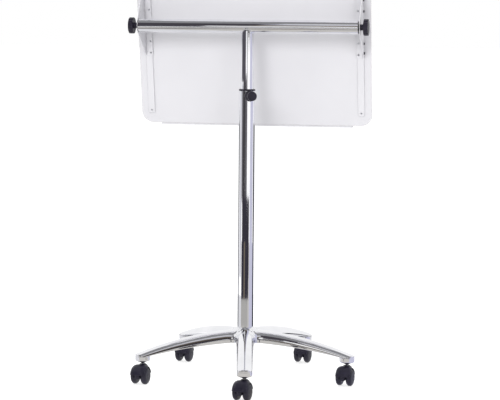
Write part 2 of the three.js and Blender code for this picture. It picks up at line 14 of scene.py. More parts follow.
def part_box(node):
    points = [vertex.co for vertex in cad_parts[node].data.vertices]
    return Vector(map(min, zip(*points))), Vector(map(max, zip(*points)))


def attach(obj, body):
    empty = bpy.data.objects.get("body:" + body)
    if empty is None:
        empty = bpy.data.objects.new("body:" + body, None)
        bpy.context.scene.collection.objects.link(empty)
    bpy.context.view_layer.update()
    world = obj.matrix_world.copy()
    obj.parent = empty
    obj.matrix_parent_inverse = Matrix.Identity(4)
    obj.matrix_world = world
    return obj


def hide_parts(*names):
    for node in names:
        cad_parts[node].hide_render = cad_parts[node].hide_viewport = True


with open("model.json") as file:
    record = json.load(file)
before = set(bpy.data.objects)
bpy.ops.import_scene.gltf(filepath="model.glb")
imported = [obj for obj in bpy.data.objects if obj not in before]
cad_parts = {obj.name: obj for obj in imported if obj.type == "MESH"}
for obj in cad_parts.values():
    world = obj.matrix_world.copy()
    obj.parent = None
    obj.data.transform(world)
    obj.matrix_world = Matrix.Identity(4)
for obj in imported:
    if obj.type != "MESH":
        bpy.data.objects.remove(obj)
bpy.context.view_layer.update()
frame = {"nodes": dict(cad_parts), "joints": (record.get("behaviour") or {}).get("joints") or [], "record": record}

MM = 0.001
TAU = 2 * math.pi
UP = Vector((0, 0, 1))


# ---- the frame's own sizes and places

def joint(name):
    return next(j for j in frame["joints"] if j["name"] == name)


def pivot(name):
    return Vector(joint(name)["pos_m"])


def mount(name):
    return next(m for m in frame["record"]["mounts"] if m["name"] == name)


def span(node, axis):
    """Lowest and highest coordinate of a CAD node along one axis."""
    low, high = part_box(node)
    return low[axis], high[axis]


X, Z = 0, 2
FACE_NORMAL = Vector(mount("writing_surface")["axis"])
TILT = math.atan2(FACE_NORMAL.z, -FACE_NORMAL.y)
BAR_CENTRE = pivot("board_tilt")
BAR_RADIUS = (span("crossbar", Z)[1] - span("crossbar", Z)[0]) / 2
BAR_HALF = span("crossbar", X)[1]
COLUMN_RADIUS = span("column_tube", X)[1]
COLUMN_FOOT, COLUMN_TOP = span("column_tube", Z)
MAST_RADIUS = span("mast_tube", X)[1]
MAST_FOOT = span("mast_tube", Z)[0]
STEM_CIRCLE = pivot("castor_1_swivel").xy.length
FIRST_ARM = math.atan2(pivot("castor_1_swivel").y, pivot("castor_1_swivel").x)
ARMS = 5
GAP = 0.3 * MM

# Board space: x across, y towards the back (so the writing side is at -y), z along the board from the bar.
BOARD_SPACE = Matrix.Translation(BAR_CENTRE) @ Matrix.Rotation(-TILT, 4, "X")
BOARD_SPACE_BACK = BOARD_SPACE.inverted()


def board_box(node):
    """Lowest and highest corner of a CAD node in board space."""
    points = [BOARD_SPACE_BACK @ v.co for v in frame["nodes"][node].data.vertices]
    return Vector(map(min, zip(*points))), Vector(map(max, zip(*points)))


# ---- meshes

def place(name, mesh, body, finish, *nodes):
    """A finished piece: it rides on a body, takes a finish, and stands for the CAD nodes named."""
    slot, look = finish
    mesh.name = name
    mesh.materials.append(look)
    piece = bpy.data.objects.new(name, mesh)
    bpy.context.scene.collection.objects.link(piece)
    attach(piece, body)
    if nodes:
        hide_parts(*nodes)
    return piece


def mesh_of(vertices, faces):
    mesh = bpy.data.meshes.new("piece")
    mesh.from_pydata([tuple(v) for v in vertices], [], faces)
    mesh.validate()
    mesh.shade_smooth()
    return mesh


def joined(*meshes):
    """Several meshes as one."""
    form = bmesh.new()
    for mesh in meshes:
        form.from_mesh(mesh)
    whole = bpy.data.meshes.new("piece")
    form.to_mesh(whole)
    form.free()
    whole.shade_smooth()
    return whole


def round_edges(piece, width, segments, angle):
    """Rounds the edges whose faces meet at more than an angle in degrees."""
    bevel = piece.modifiers.new("edges", "BEVEL")
    bevel.width = width
    bevel.segments = segments
    bevel.limit_method = "ANGLE"
    bevel.angle_limit = math.radians(angle)


def soften(piece, width, segments=3, angle=30):
    """Rounded edges with clean shading on flat faces."""
    round_edges(piece, width, segments, angle)
    normals = piece.modifiers.new("normals", "WEIGHTED_NORMAL")
    normals.keep_sharp = True


def arc_corner(before, corner, after, radius, steps):
    """Points of a circular fillet of a 2-D corner."""
    a, b, c = Vector(before), Vector(corner), Vector(after)
    to_a, to_c = (a - b), (c - b)
    room = 0.49 * min(to_a.length, to_c.length)
    to_a.normalize()
    to_c.normalize()
    half = to_a.angle(to_c) / 2
    if radius <= 0 or half > math.radians(89):
        return [tuple(b)]
    back = min(radius / math.tan(half), room)
    radius = back * math.tan(half)
    centre = b + (to_a + to_c).normalized() * (radius / math.sin(half))
    start, end = b + to_a * back - centre, b + to_c * back - centre
    sweep = start.angle_signed(end)
    points = []
    for i in range(steps + 1):
        turned = start.copy()
        turned.rotate(Matrix.Rotation(-sweep * i / steps, 2))
        points.append(tuple(centre + turned))
    return points


def mm(*points):
    """Points given in millimetres, in metres."""
    return [tuple(value * MM for value in point) for point in points]


def rounded(points, closed=True, steps=4):
    """An outline whose corners are filleted. A point is (x, y) or (x, y, fillet radius)."""
    count = len(points)
    outline = []
    for i, point in enumerate(points):
        inside = closed or 0 < i < count - 1
        if len(point) == 2 or not inside:
            outline.append(tuple(point[:2]))
            continue
        before, after = points[i - 1], points[(i + 1) % count]
        outline += arc_corner(before[:2], point[:2], after[:2], point[2], steps)
    return outline


def braced(profile, closed, margin=0.8 * MM):
    """The same profile with a point near both ends of its long runs, which keeps their shading straight."""
    points = [Vector(p) for p in profile]
    runs = list(zip(points, points[1:] + points[:1]))
    result = []
    for start, end in runs if closed else runs[:-1]:
        result.append(start)
        if (end - start).length > 6 * margin:
            step = (end - start).normalized() * margin
            result += [start + step, end - step]
    return result if closed else result + points[-1:]


def lathe(profile, segments=72, closed=False, flutes=None):
    """A surface of revolution about Z. profile is [(radius, height)]. flutes(angle, radius, height) may
    give a new radius."""
    vertices, rows = [], []
    for radius, height in braced(profile, closed):
        if radius < 1e-7:
            rows.append([len(vertices)])
            vertices.append((0, 0, height))
            continue
        row = []
        for i in range(segments):
            angle = TAU * i / segments
            r = flutes(angle, radius, height) if flutes else radius
            row.append(len(vertices))
            vertices.append((r * math.cos(angle), r * math.sin(angle), height))
        rows.append(row)
    faces = []
    pairs = list(zip(rows, rows[1:]))
    if closed:
        pairs.append((rows[-1], rows[0]))
    for low, high in pairs:
        for i in range(segments):
            j = (i + 1) % segments
            face = [low[i % len(low)], low[j % len(low)], high[j % len(high)], high[i % len(high)]]
            face = [v for k, v in enumerate(face) if v != face[k - 1]]
            if len(face) > 2:
                faces.append(face)
    return mesh_of(vertices, faces)


def tube_profile(inner, outer, low, high, fillet=0.4 * MM):
    """A tube wall, its four edges rounded, as a closed profile."""
    corners = ((inner, low), (outer, low), (outer, high), (inner, high))
    return rounded([(*corner, fillet) for corner in corners], steps=3)


def slab(outline, low, high, matrix=None, holes=()):
    """A flat outline (x, y) between two heights on z, with holes."""
    form = bmesh.new()
    edges = []
    for loop in [outline, *holes]:
        ring = [form.verts.new((x, y, low)) for x, y in loop]
        edges += [form.edges.new((ring[i - 1], ring[i])) for i in range(len(ring))]
    bmesh.ops.triangle_fill(form, edges=edges, use_beauty=True)
    bmesh.ops.dissolve_limit(form, angle_limit=0.001, verts=form.verts, edges=form.edges)
    raised = bmesh.ops.extrude_face_region(form, geom=list(form.faces))
    top = [g for g in raised["geom"] if isinstance(g, bmesh.types.BMVert)]
    bmesh.ops.translate(form, verts=top, vec=(0, 0, high - low))
    bmesh.ops.recalc_face_normals(form, faces=form.faces)
    mesh = bpy.data.meshes.new("piece")
    form.to_mesh(mesh)
    form.free()
    if matrix is not None:
        mesh.transform(matrix)
        if matrix.determinant() < 0:
            mesh.flip_normals()
    return mesh


def rectangle(x0, x1, y0, y1, r, steps=6):
    return rounded([(x0, y0, r), (x1, y0, r), (x1, y1, r), (x0, y1, r)], steps=steps)


def along(axis, origin):
    """A matrix that takes +Z to an axis, at an origin."""
    turn = Vector(axis).to_track_quat("Z", "Y").to_matrix().to_4x4()
    return Matrix.Translation(Vector(origin)) @ turn


# ---- looks

class Look:
    """A procedural material: a Principled shader whose colour, roughness and bump come from nodes."""

    def __init__(self, name, **constants):
        self.material = bpy.data.materials.new(name)
        self.material.use_nodes = True
        self.tree = self.material.node_tree
        self.shader = self.tree.nodes["Principled BSDF"]
        for socket, value in constants.items():
            self.shader.inputs[socket.replace("_", " ")].default_value = value
        self.place = self.node("ShaderNodeTexCoord").outputs["Object"]

    def node(self, kind):
        return self.tree.nodes.new(kind)

    def wire(self, source, target):
        self.tree.links.new(source, target)

    def noise(self, scale, detail=3, stretch=(1, 1, 1), roughness=0.5):
        """Noise with about `scale` features to the metre."""
        mapping = self.node("ShaderNodeMapping")
        mapping.inputs["Scale"].default_value = stretch
        self.wire(self.place, mapping.inputs["Vector"])
        noise = self.node("ShaderNodeTexNoise")
        noise.inputs["Scale"].default_value = scale
        noise.inputs["Detail"].default_value = detail
        noise.inputs["Roughness"].default_value = roughness
        self.wire(mapping.outputs["Vector"], noise.inputs["Vector"])
        return noise.outputs["Fac"]

    def colours(self, factor, first, second):
        """A ramp between two colours, each given as (position, rgb)."""
        ramp = self.node("ShaderNodeValToRGB")
        for element, (position, rgb) in zip(ramp.color_ramp.elements, (first, second)):
            element.position = position
            element.color = (*rgb, 1)
        self.wire(factor, ramp.inputs["Fac"])
        return ramp.outputs["Color"]

    def levels(self, factor, low, high):
        """A number that runs from low to high over the middle of the factor's range."""
        scale = self.node("ShaderNodeMapRange")
        for socket, value in (("From Min", 0.3), ("From Max", 0.7), ("To Min", low), ("To Max", high)):
            scale.inputs[socket].default_value = value
        self.wire(factor, scale.inputs["Value"])
        return scale.outputs["Result"]

    def bump(self, height, distance, under=None):
        """Relief of a distance in metres, on top of another normal if one is given."""
        bump = self.node("ShaderNodeBump")
        bump.inputs["Strength"].default_value = 1.0
        bump.inputs["Distance"].default_value = distance
        self.wire(height, bump.inputs["Height"])
        if under is not None:
            self.wire(under, bump.inputs["Normal"])
        return bump.outputs["Normal"]

    def finish(self, colour, roughness=None, normal=None):
        """Wires what varies into the shader. What isn't given stays constant."""
        for source, socket in ((colour, "Base Color"), (roughness, "Roughness"), (normal, "Normal")):
            if source is not None:
                self.wire(source, self.shader.inputs[socket])
        return self.material


def chrome_look():
    look = Look("polished_chrome", Metallic=1.0)
    haze = look.noise(9, detail=4)
    hairlines = look.noise(160, detail=2, stretch=(1, 1, 0.06))
    colour = look.colours(haze, (0.3, (0.83, 0.835, 0.86)), (0.7, (0.9, 0.9, 0.925)))
    roughness = look.levels(hairlines, 0.035, 0.075)
    waves = look.bump(look.noise(14, detail=1), 0.00012)
    return look.finish(colour, roughness, look.bump(hairlines, 0.000004, under=waves))


def cast_chrome_look():
    look = Look("cast_chrome", Metallic=1.0)
    haze = look.noise(12, detail=4)
    colour = look.colours(haze, (0.3, (0.82, 0.825, 0.85)), (0.7, (0.9, 0.9, 0.925)))
    roughness = look.levels(look.noise(220, detail=2), 0.04, 0.09)
    return look.finish(colour, roughness, look.bump(look.noise(22, detail=2), 0.00025))


def zinc_look():
    look = Look("zinc_steel", Metallic=1.0)
    streaks = look.noise(700, detail=3, stretch=(1, 1, 0.08))
    clouds = look.noise(60, detail=3)
    colour = look.colours(clouds, (0.3, (0.56, 0.57, 0.6)), (0.7, (0.7, 0.71, 0.73)))
    return look.finish(colour, look.levels(streaks, 0.2, 0.38), look.bump(streaks, 0.00002))


def plastic_look(name, low, high, rough, grain, depth):
    look = Look(name, Specular_IOR_Level=0.35)
    mottle = look.noise(35, detail=4)
    fine = look.noise(grain, detail=2)
    colour = look.colours(mottle, (0.3, low), (0.7, high))
    roughness = look.levels(look.noise(120, detail=3), rough - 0.05, rough + 0.07)
    return look.finish(colour, roughness, look.bump(fine, depth))


def fibre_look():
    look = Look("fibre_washer")
    strands = look.noise(900, detail=4, stretch=(1, 0.3, 1))
    colour = look.colours(strands, (0.3, (0.02, 0.019, 0.02)), (0.7, (0.075, 0.07, 0.068)))
    return look.finish(colour, look.levels(strands, 0.65, 0.9), look.bump(strands, 0.00008))


def paint_look(name, low, high, rough, peel):
    """Powder coat: an orange-peel skin with faint uneven tone."""
    look = Look(name, Coat_Weight=0.25, Coat_Roughness=0.25)
    tone = look.noise(4, detail=3)
    colour = look.colours(tone, (0.3, low), (0.7, high))
    roughness = look.levels(look.noise(300, detail=2), rough - 0.04, rough + 0.06)
    return look.finish(colour, roughness, look.bump(look.noise(420, detail=2), peel))


def enamel_look():
    look = Look("writing_enamel", Coat_Weight=1.0, Coat_Roughness=0.05)
    wiped = look.noise(14, detail=5, stretch=(0.35, 1, 1), roughness=0.6)
    colour = look.colours(wiped, (0.25, (0.555, 0.54, 0.55)), (0.75, (0.60, 0.585, 0.595)))
    roughness = look.levels(wiped, 0.1, 0.24)
    return look.finish(colour, roughness, look.bump(look.noise(7, detail=2), 0.0006))


def aluminium_look():
    look = Look("satin_aluminium", Metallic=1.0)
    drawn = look.noise(900, detail=3, stretch=(0.02, 1, 1))
    colour = look.colours(look.noise(20, detail=3), (0.3, (0.66, 0.67, 0.69)), (0.7, (0.76, 0.77, 0.79)))
    return look.finish(colour, look.levels(drawn, 0.26, 0.42), look.bump(drawn, 0.000015))


# A finish is the name of its slot and its material.
CHROME = "chrome", chrome_look()
CAST_CHROME = "chrome", cast_chrome_look()
ZINC = "zinc_steel", zinc_look()
BLACK = "black_plastic", plastic_look(
    "black_plastic", (0.011, 0.009, 0.017), (0.018, 0.015, 0.027), 0.36, 1500, 0.00006)
CASTOR_BLACK = "castor_black", plastic_look(
    "castor_nylon", (0.01, 0.009, 0.018), (0.017, 0.015, 0.028), 0.34, 1100, 0.00007)
WHEEL_BLACK = "wheel_black", plastic_look(
    "wheel_nylon", (0.01, 0.009, 0.018), (0.018, 0.016, 0.029), 0.33, 800, 0.00008)
FIBRE = "fibre", fibre_look()
PAINT = "white_paint", paint_look(
    "white_powder_coat", (0.555, 0.55, 0.575), (0.585, 0.58, 0.605), 0.4, 0.00005)
RAIL_PAINT = "white_paint", paint_look(
    "rail_powder_coat", (0.56, 0.555, 0.58), (0.59, 0.585, 0.61), 0.36, 0.00005)
ENAMEL = "writing_enamel", enamel_look()
ALUMINIUM = "aluminium", aluminium_look()


# ---- the star base

HUB_HOLE = COLUMN_RADIUS + GAP
RIM_ROUND = 1.2 * MM


class BaseForm:
    """The shape of the pressed base, in its own frame with one arm along +X. Distances in metres."""

    top_at_hub, top_sag = 147.5 * MM, 0.53
    low_at_hub, low_sag = 112 * MM, 0.32
    half_at_hub, half_at_end = 28 * MM, 22.4 * MM
    crown_at_hub, crown_at_end = 27 * MM, 14 * MM
    blend = 34 * MM  # how far the arms melt into each other
    nose = 3 * MM  # rounding of the arm's end
    tuck = math.tan(math.radians(4))  # the sides turn in a little towards the rim
    wall = 3.2 * MM

    @classmethod
    def low(cls, r):
        return cls.low_at_hub - cls.low_sag * r * r

    @classmethod
    def arm(cls, x, y, z):
        """Below 0 inside one arm, above 0 outside it."""
        share = np.clip(x / STEM_CIRCLE, 0, 1.2)
        half = cls.half_at_hub + (cls.half_at_end - cls.half_at_hub) * share
        crown = cls.crown_at_hub + (cls.crown_at_end - cls.crown_at_hub) * share ** 2
        base = cls.top_at_hub - cls.top_sag * x * x - crown
        over = np.maximum(z - base, 0) / crown
        half = half - cls.tuck * np.maximum(base - z, 0)
        inside = (np.sqrt((y / half) ** 2 + over ** 2) - 1) * half
        end = np.hypot(np.maximum(x - STEM_CIRCLE, 0), y) - cls.half_at_end
        return np.where(x > STEM_CIRCLE, cls.cut(inside, end), inside)

    @classmethod
    def cut(cls, a, b):
        """Smooth larger-of-two."""
        near = np.maximum(cls.nose - np.abs(a - b), 0) / cls.nose
        return np.maximum(a, b) + near ** 3 * cls.nose / 6

    @classmethod
    def melt(cls, a, b):
        """Smooth smaller-of-two."""
        near = np.maximum(cls.blend - np.abs(a - b), 0) / cls.blend
        return np.minimum(a, b) - near ** 3 * cls.blend / 6

    @classmethod
    def star(cls, x, y, z):
        whole = cls.arm(x, y, z)
        for k in range(1, ARMS):
            turn = TAU * k / ARMS
            across = x * math.cos(turn) + y * math.sin(turn)
            aside = -x * math.sin(turn) + y * math.cos(turn)
            other = np.where(across > -20 * MM, cls.arm(np.maximum(across, 0), aside, z), 1.0)
            whole = cls.melt(whole, other)
        return whole


def cast_rays(origin, height, plan, rise, depth, reach=90 * MM):
    """Where rays from inside the base meet the layer that lies a depth under its surface."""
    dx, dy, dz = np.cos(rise) * np.cos(plan), np.cos(rise) * np.sin(plan), np.sin(rise)
    near, far = np.zeros_like(dx), np.full_like(dx, reach)
    for _ in range(36):
        middle = (near + far) / 2
        inside = BaseForm.star(origin + dx * middle, dy * middle, height + dz * middle) < -depth
        near, far = np.where(inside, middle, near), np.where(inside, far, middle)
    return origin + dx * near, dy * near, height + dz * near


def arm_rows():
    """For each row across half an arm: its start on the arm's axis, its direction in plan, and the height
    of its rim."""
    straight, nose = 46, 12
    hub_end = 74 * MM
    crotch = np.concatenate([np.linspace(0, HUB_HOLE, 9), np.linspace(HUB_HOLE, hub_end, 17)[1:]])
    origin = np.concatenate([crotch, np.linspace(hub_end, STEM_CIRCLE, straight + 1)[1:],
                             np.full(nose, STEM_CIRCLE)])
    plan = np.concatenate([
        math.pi / ARMS + (math.pi / 2 - math.pi / ARMS) * (crotch / hub_end) ** (2 / 3),
        np.full(straight, math.pi / 2),
        math.pi / 2 * (1 - np.linspace(0, 1, nose + 1)[1:]),
    ])
    rim = BaseForm.low(origin)
    for _ in range(3):
        x, y = cast_rays(origin, rim, plan, np.zeros_like(plan), 0)[:2]
        rim = BaseForm.low(np.minimum(np.hypot(x, y), STEM_CIRCLE))
    return origin, plan, rim + RIM_ROUND


def half_layer(rows, depth, across=26):
    """Points of half an arm, at a depth under the surface: columns run from the rim up to the ridge."""
    origin, plan, rim = rows
    top = np.full(len(plan), math.pi / 2)
    fine = np.linspace(0, math.pi / 2, 361)
    for i in np.flatnonzero(origin < HUB_HOLE - 1e-9):
        start, height, way = (np.full(len(fine), v[i]) for v in (origin, rim, plan))
        x, y = cast_rays(start, height, way, fine, depth)[:2]
        top[i] = np.interp(-HUB_HOLE, -np.hypot(x, y), fine)
    rise = top[:, None] * np.linspace(0, 1, across + 1)[None, :]
    starts = [np.broadcast_to(v[:, None], rise.shape) for v in (origin, rim, plan)]
    x, y, z = cast_rays(*starts, rise, depth)
    y[0] = np.tan(math.pi / ARMS) * x[0]
    y[origin > HUB_HOLE - 1e-9, -1] = 0
    return np.stack([x, y, z], axis=-1)


def rim_strip(outer, inner):
    """The rounded bottom edge that joins the two layers."""
    inward = inner - outer
    inward[:, 2] = 0
    width = np.linalg.norm(inward, axis=1, keepdims=True)
    inward /= width
    down = np.array([0, 0, -RIM_ROUND])
    turns = np.linspace(0, math.pi / 2, 4)
    strip = [outer + inward * RIM_ROUND * (1 - math.cos(t)) + down * math.sin(t) for t in turns]
    strip += [inner - inward * RIM_ROUND * (1 - math.sin(t)) + down * math.cos(t) for t in turns]
    return np.stack(strip, axis=1)


def base_mesh(half, sectors):
    """The whole star from one half arm, given as patches of points."""
    vertices, faces = [], []
    for turn in sectors:
        for side in (1, -1):
            for patch in half:
                rows, columns = patch.shape[:2]
                first = len(vertices)
                x, y, z = np.moveaxis(patch * np.array([1, side, 1]), -1, 0)
                turned_x = x * math.cos(turn) - y * math.sin(turn)
                turned_y = x * math.sin(turn) + y * math.cos(turn)
                vertices += np.stack([turned_x, turned_y, z], axis=-1).reshape(-1, 3).tolist()
                for i in range(rows - 1):
                    for j in range(columns - 1):
                        a = first + i * columns + j
                        faces.append([a, a + columns, a + columns + 1, a + 1])
    return welded(mesh_of(vertices, faces))


def welded(mesh):
    """The same mesh with its touching points joined and its faces turned outwards."""
    form = bmesh.new()
    form.from_mesh(mesh)
    bmesh.ops.remove_doubles(form, verts=form.verts, dist=0.01 * MM)
    bmesh.ops.dissolve_degenerate(form, edges=form.edges, dist=0.005 * MM)
    bmesh.ops.recalc_face_normals(form, faces=form.faces)
    form.to_mesh(mesh)
    form.free()
    mesh.shade_smooth()
    return mesh


def make_base():
    rows = arm_rows()
    outer, inner = half_layer(rows, 0), half_layer(rows, BaseForm.wall)
    mouth = rows[0] < HUB_HOLE + 1e-9
    half = [outer, inner, rim_strip(outer[:, 0], inner[:, 0]),
            np.stack([outer[mouth, -1], inner[mouth, -1]], axis=1)]
    sectors = [FIRST_ARM + TAU * k / ARMS for k in range(ARMS)]
    star = place("star_base_shell", base_mesh(half, sectors), "base", CAST_CHROME, "base_star")
    star.data.set_sharp_from_angle(angle=math.radians(60))

    bottom, top = span("base_star", Z)[0], 81.5 * MM
    radius, bore = BaseForm.half_at_end, 6 * MM
    cup = [(bore, bottom), (radius, bottom, 4.5 * MM), (radius, top, 1.6 * MM), (bore, top)]
    for k in range(1, ARMS + 1):
        at = pivot(f"castor_{k}_swivel")
        mesh = lathe(rounded(cup, steps=6), closed=True)
        mesh.transform(Matrix.Translation((at.x, at.y, 0)))
        place(f"castor_socket_{k}", mesh, "base", CAST_CHROME)


# ---- column, mast and crossbar

def make_column():
    bore = COLUMN_RADIUS - 2 * MM
    wall = lathe(tube_profile(bore, COLUMN_RADIUS, COLUMN_FOOT, COLUMN_TOP), 96, closed=True)
    place("column_outer_tube", wall, "base", CHROME, "column_tube")

    low, high = span("column_bush", Z)
    lip = COLUMN_TOP + GAP
    inner = MAST_RADIUS + 0.25 * MM
    outer = COLUMN_RADIUS + 0.2 * MM
    collar = rounded([
        (inner, low), (bore - GAP, low), (bore - GAP, lip), (outer, lip, 0.5 * MM),
        (outer, high - 0.6 * MM, 1.6 * MM), (inner + 1 * MM, high, 0.8 * MM)])
    place("column_mouth_bush", lathe(collar, 96, closed=True), "base", BLACK, "column_bush")


def make_mast():
    inner = MAST_RADIUS - 1.7 * MM
    top = BAR_CENTRE.z - BAR_RADIUS * 0.6
    wall = lathe(tube_profile(inner, MAST_RADIUS, MAST_FOOT, top), 96, closed=True)
    place("mast_inner_tube", wall, "mast", CHROME, "mast_tube")

    section = tube_profile(BAR_RADIUS - 2 * MM, BAR_RADIUS, -BAR_HALF, BAR_HALF, 0.6 * MM)
    bar = lathe(section, 96, closed=True)
    bar.transform(along((1, 0, 0), BAR_CENTRE))
    place("crossbar_tube", bar, "mast", CHROME, "crossbar")
    place("saddle_weld", saddle_weld(), "mast", CAST_CHROME)


def saddle_weld(bead=2.2 * MM, stations=120, sides=10):
    """The weld bead that runs round the mast where it meets the crossbar."""
    vertices, faces = [], []
    for i in range(stations):
        angle = TAU * i / stations
        out = Vector((math.cos(angle), math.sin(angle), 0))
        side = MAST_RADIUS * out.y
        height = BAR_CENTRE.z - math.sqrt(BAR_RADIUS ** 2 - side ** 2)
        centre = out * MAST_RADIUS + UP * height
        ripple = 1 + 0.06 * math.sin(30 * angle)
        for j in range(sides):
            turn = TAU * j / sides
            vertices.append(centre + (out * math.cos(turn) + UP * math.sin(turn)) * bead * ripple)
    for i in range(stations):
        for j in range(sides):
            a, b = i * sides + j, i * sides + (j + 1) % sides
            c, d = (b + sides) % (stations * sides), (a + sides) % (stations * sides)
            faces.append([a, d, c, b])
    return mesh_of(vertices, faces)


# ---- knobs

STUD_HOLE = 5.3 * MM  # radius of the hole round a tilt knob's stud
SCREW_HOLE = 4.3 * MM  # radius of the hole round the height clamp's screw


def knob_flutes(head_low, head_high, rim, lobes, depth):
    """Rounded flutes on the part of a knob near its rim."""
    def radius_at(angle, radius, height):
        if radius < rim * 0.8 or not head_low <= height <= head_high:
            return radius
        groove = (0.5 - 0.5 * math.cos(lobes * angle)) ** 3
        return radius - depth * groove * (radius / rim)
    return radius_at


def make_tilt_knob(side, sign):
    """A fluted clamp knob: hub, dished head and a domed cap on its outer face."""
    low, high = (abs(v) for v in span(f"tilt_knob_{side}", X)[::sign])
    rim, start = 24 * MM, high - 15.5 * MM
    profile = rounded([
        (STUD_HOLE, low), (9 * MM, low, 1 * MM), (9 * MM, start, 1.2 * MM),
        (rim, start, 1.2 * MM), (rim, high - 1.6 * MM, 1.4 * MM),
        (16.4 * MM, high - 1.4 * MM, 0.5 * MM), (15.9 * MM, high - 2.4 * MM, 0.4 * MM),
        (15 * MM, high - 2.4 * MM, 0.4 * MM), (14.4 * MM, high - 1.4 * MM, 1 * MM),
        (7 * MM, high - 0.3 * MM, 3 * MM), (0, high - 0.1 * MM)], closed=False, steps=5)
    flutes = knob_flutes(start + 1 * MM, high - 2 * MM, rim, lobes=12, depth=1.5 * MM)
    shape = lathe(profile, 144, flutes=flutes)
    shape.transform(along((sign, 0, 0), (0, 0, BAR_CENTRE.z)))
    place(f"tilt_knob_{side}_body", shape, f"tilt_clamp_{side}", BLACK, f"tilt_knob_{side}")


def make_washer(side, sign):
    low, high = (abs(v) for v in span(f"friction_washer_{side}", X)[::sign])
    bottom, top = span(f"friction_washer_{side}", Z)
    shape = lathe(tube_profile(STUD_HOLE, (top - bottom) / 2, low, high), closed=True)
    shape.transform(along((sign, 0, 0), (0, 0, BAR_CENTRE.z)))
    place(f"friction_disc_{side}", shape, "mast", FIBRE, f"friction_washer_{side}")


def make_height_clamp():
    """The clamp's grip, round its screw, and the boss on the column. Both are drawn with +Z outwards."""
    out = Vector(joint("height_knob_turn")["axis"]).normalized()
    matrix = along(out, (0, 0, pivot("height_knob_turn").z))
    reach = [v.co.dot(out) for v in frame["nodes"]["height_knob"].data.vertices]
    near, far = min(reach), max(reach)
    skirt = 16.6 * MM
    profile = rounded([
        (SCREW_HOLE, near), (13 * MM, near, 1 * MM), (skirt, near + 3 * MM, 2 * MM),
        (skirt, near + 7.5 * MM, 2.5 * MM), (12.6 * MM, near + 14 * MM, 6 * MM),
        (12.8 * MM, far - 10 * MM, 4 * MM), (14 * MM, far - 4 * MM, 2 * MM),
        (13.6 * MM, far - 0.6 * MM, 1.4 * MM), (11.6 * MM, far - 0.2 * MM, 0.6 * MM),
        (10.8 * MM, far - 1.2 * MM, 0.4 * MM), (6 * MM, far - 1 * MM, 2 * MM), (0, far - 0.6 * MM)],
        closed=False, steps=5)
    flutes = knob_flutes(near + 2 * MM, near + 9 * MM, skirt, lobes=16, depth=0.9 * MM)
    shape = lathe(profile, 144, flutes=flutes)
    shape.transform(matrix)
    place("height_knob_body", shape, "height_clamp", BLACK, "height_knob")

    boss_end = max(v.co.dot(out) for v in frame["nodes"]["clamp_boss"].data.vertices)
    root = COLUMN_RADIUS - 3 * MM
    boss = rounded([
        (SCREW_HOLE, root), (11.5 * MM, root), (11 * MM, COLUMN_RADIUS + 1 * MM, 1 * MM),
        (9.8 * MM, COLUMN_RADIUS + 2 * MM, 0.8 * MM), (9.8 * MM, boss_end, 0.6 * MM),
        (SCREW_HOLE, boss_end)])
    shape = lathe(boss, 64, closed=True)
    shape.transform(matrix)
    place("clamp_boss_ring", shape, "base", CHROME, "clamp_boss")


# ---- the board

def board_slab(outline, near, far):
    """An outline (across, along) as a slab between two distances in front of the bar."""
    upright = Matrix(((1, 0, 0, 0), (0, 0, -1, 0), (0, 1, 0, 0), (0, 0, 0, 1)))
    return slab(outline, near, far, BOARD_SPACE @ upright)


def section_slab(section, start, end, sign=1, holes=()):
    """A section (backwards, along) of the board as a slab between two distances to one side."""
    sideways = Matrix(((0, 0, sign, 0), (1, 0, 0, 0), (0, 1, 0, 0), (0, 0, 0, 1)))
    return slab(section, start, end, BOARD_SPACE @ sideways, holes)


def pan_head(radius, height):
    """A pan-head screw seen on Z, with a cross recess, standing on z = 0."""
    crown, slot, reach, depth = radius * 0.5, radius * 0.13, radius * 0.62 * 0.72, height * 0.55
    profile = [(0, -1 * MM), (radius * 0.95, -1 * MM), (radius, 0.1 * MM)]
    steps = 6
    for i in range(steps + 1):
        turn = math.pi / 2 * i / steps
        profile.append((radius * (0.62 + 0.38 * math.cos(turn)), height * (0.35 + 0.65 * math.sin(turn))))
    shape = lathe(profile + [(crown, height)], 32)
    form = bmesh.new()
    form.from_mesh(shape)
    ring = [v for v in form.verts if abs(v.co.z - height) < 1e-6 and abs(v.co.xy.length - crown) < 1e-6]
    ring.sort(key=lambda v: math.atan2(v.co.y, v.co.x))
    cross = []
    for quarter in range(4):
        turn = Matrix.Rotation(quarter * math.pi / 2, 3, "Z")
        cross += [turn @ Vector((x, y, height)) for x, y in ((reach, -slot), (reach, slot), (slot, slot))]
    loop = [form.verts.new(p) for p in cross]
    edges = [form.edges.new((loop[i - 1], loop[i])) for i in range(len(loop))]
    edges += [form.edges.get((ring[i - 1], ring[i])) for i in range(len(ring))]
    bmesh.ops.triangle_fill(form, edges=edges, use_beauty=True)
    inside = [f for f in form.faces if all(v in loop for v in f.verts)]
    bmesh.ops.delete(form, geom=inside, context="FACES")
    sunk = [form.verts.new(v.co - UP * depth) for v in loop]
    for i in range(len(loop)):
        form.faces.new((loop[i - 1], loop[i], sunk[i], sunk[i - 1]))
    form.faces.new(sunk)
    bmesh.ops.recalc_face_normals(form, faces=form.faces)
    form.to_mesh(shape)
    form.free()
    return shape


def make_screws(name, across, depth, heights, radius, height):
    """A row of zinc screw heads that face backwards at a depth behind the bar, in board space."""
    backwards = Matrix.Rotation(-math.pi / 2, 4, "X")
    heads = []
    for number, up in enumerate(heights):
        head = pan_head(radius, height)
        twist = Matrix.Rotation(0.7 * number + 0.3, 4, "Z")
        head.transform(BOARD_SPACE @ Matrix.Translation((across, depth, up)) @ backwards @ twist)
        heads.append(head)
    place(name, joined(*heads), "board", ZINC)


